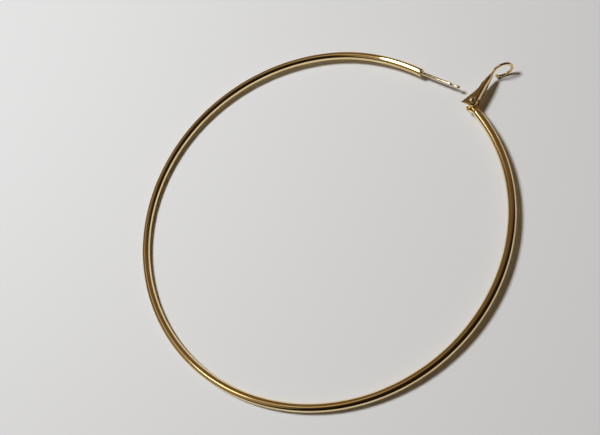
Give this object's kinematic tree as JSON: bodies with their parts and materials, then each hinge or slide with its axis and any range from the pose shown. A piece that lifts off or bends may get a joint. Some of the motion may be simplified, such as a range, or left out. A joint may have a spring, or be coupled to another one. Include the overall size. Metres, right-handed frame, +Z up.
{
  "type": "hoop earring",
  "caption": "Large thin hoop earring of round tube, lying open, with a straight ear post and a hinged snap lever that ends in a small wire ring.",
  "frame": {"origin": "middle of the underside of the whole earring's box, on the surface it lies on", "axes": "+Z up from that surface, nearly square to the hoop's plane; +X from the hoop's centre towards the gap and the clasp"},
  "size_m": [0.1022, 0.09, 0.005],
  "materials": {
    "polished_tube": "mirror polished, plated pale yellow gold",
    "rivet": "polished, plated pale yellow gold",
    "lever_sheet": "stamped sheet and wire, polished over faint forming marks, plated pale yellow gold"
  },
  "bodies": {
    "hoop": {"hoop": "polished_tube", "hinge_rivet": "rivet"},
    "lever": {"clasp_lever": "lever_sheet"}
  },
  "joints": [
    {"name": "clasp_hinge", "type": "hinge", "parent": "hoop", "child": "lever", "pos_m": [0.03809, -0.00688, 0.00235], "axis": [-0.0158, 0.0017, 0.9999], "range_deg": [-20, 58]}
  ]
}
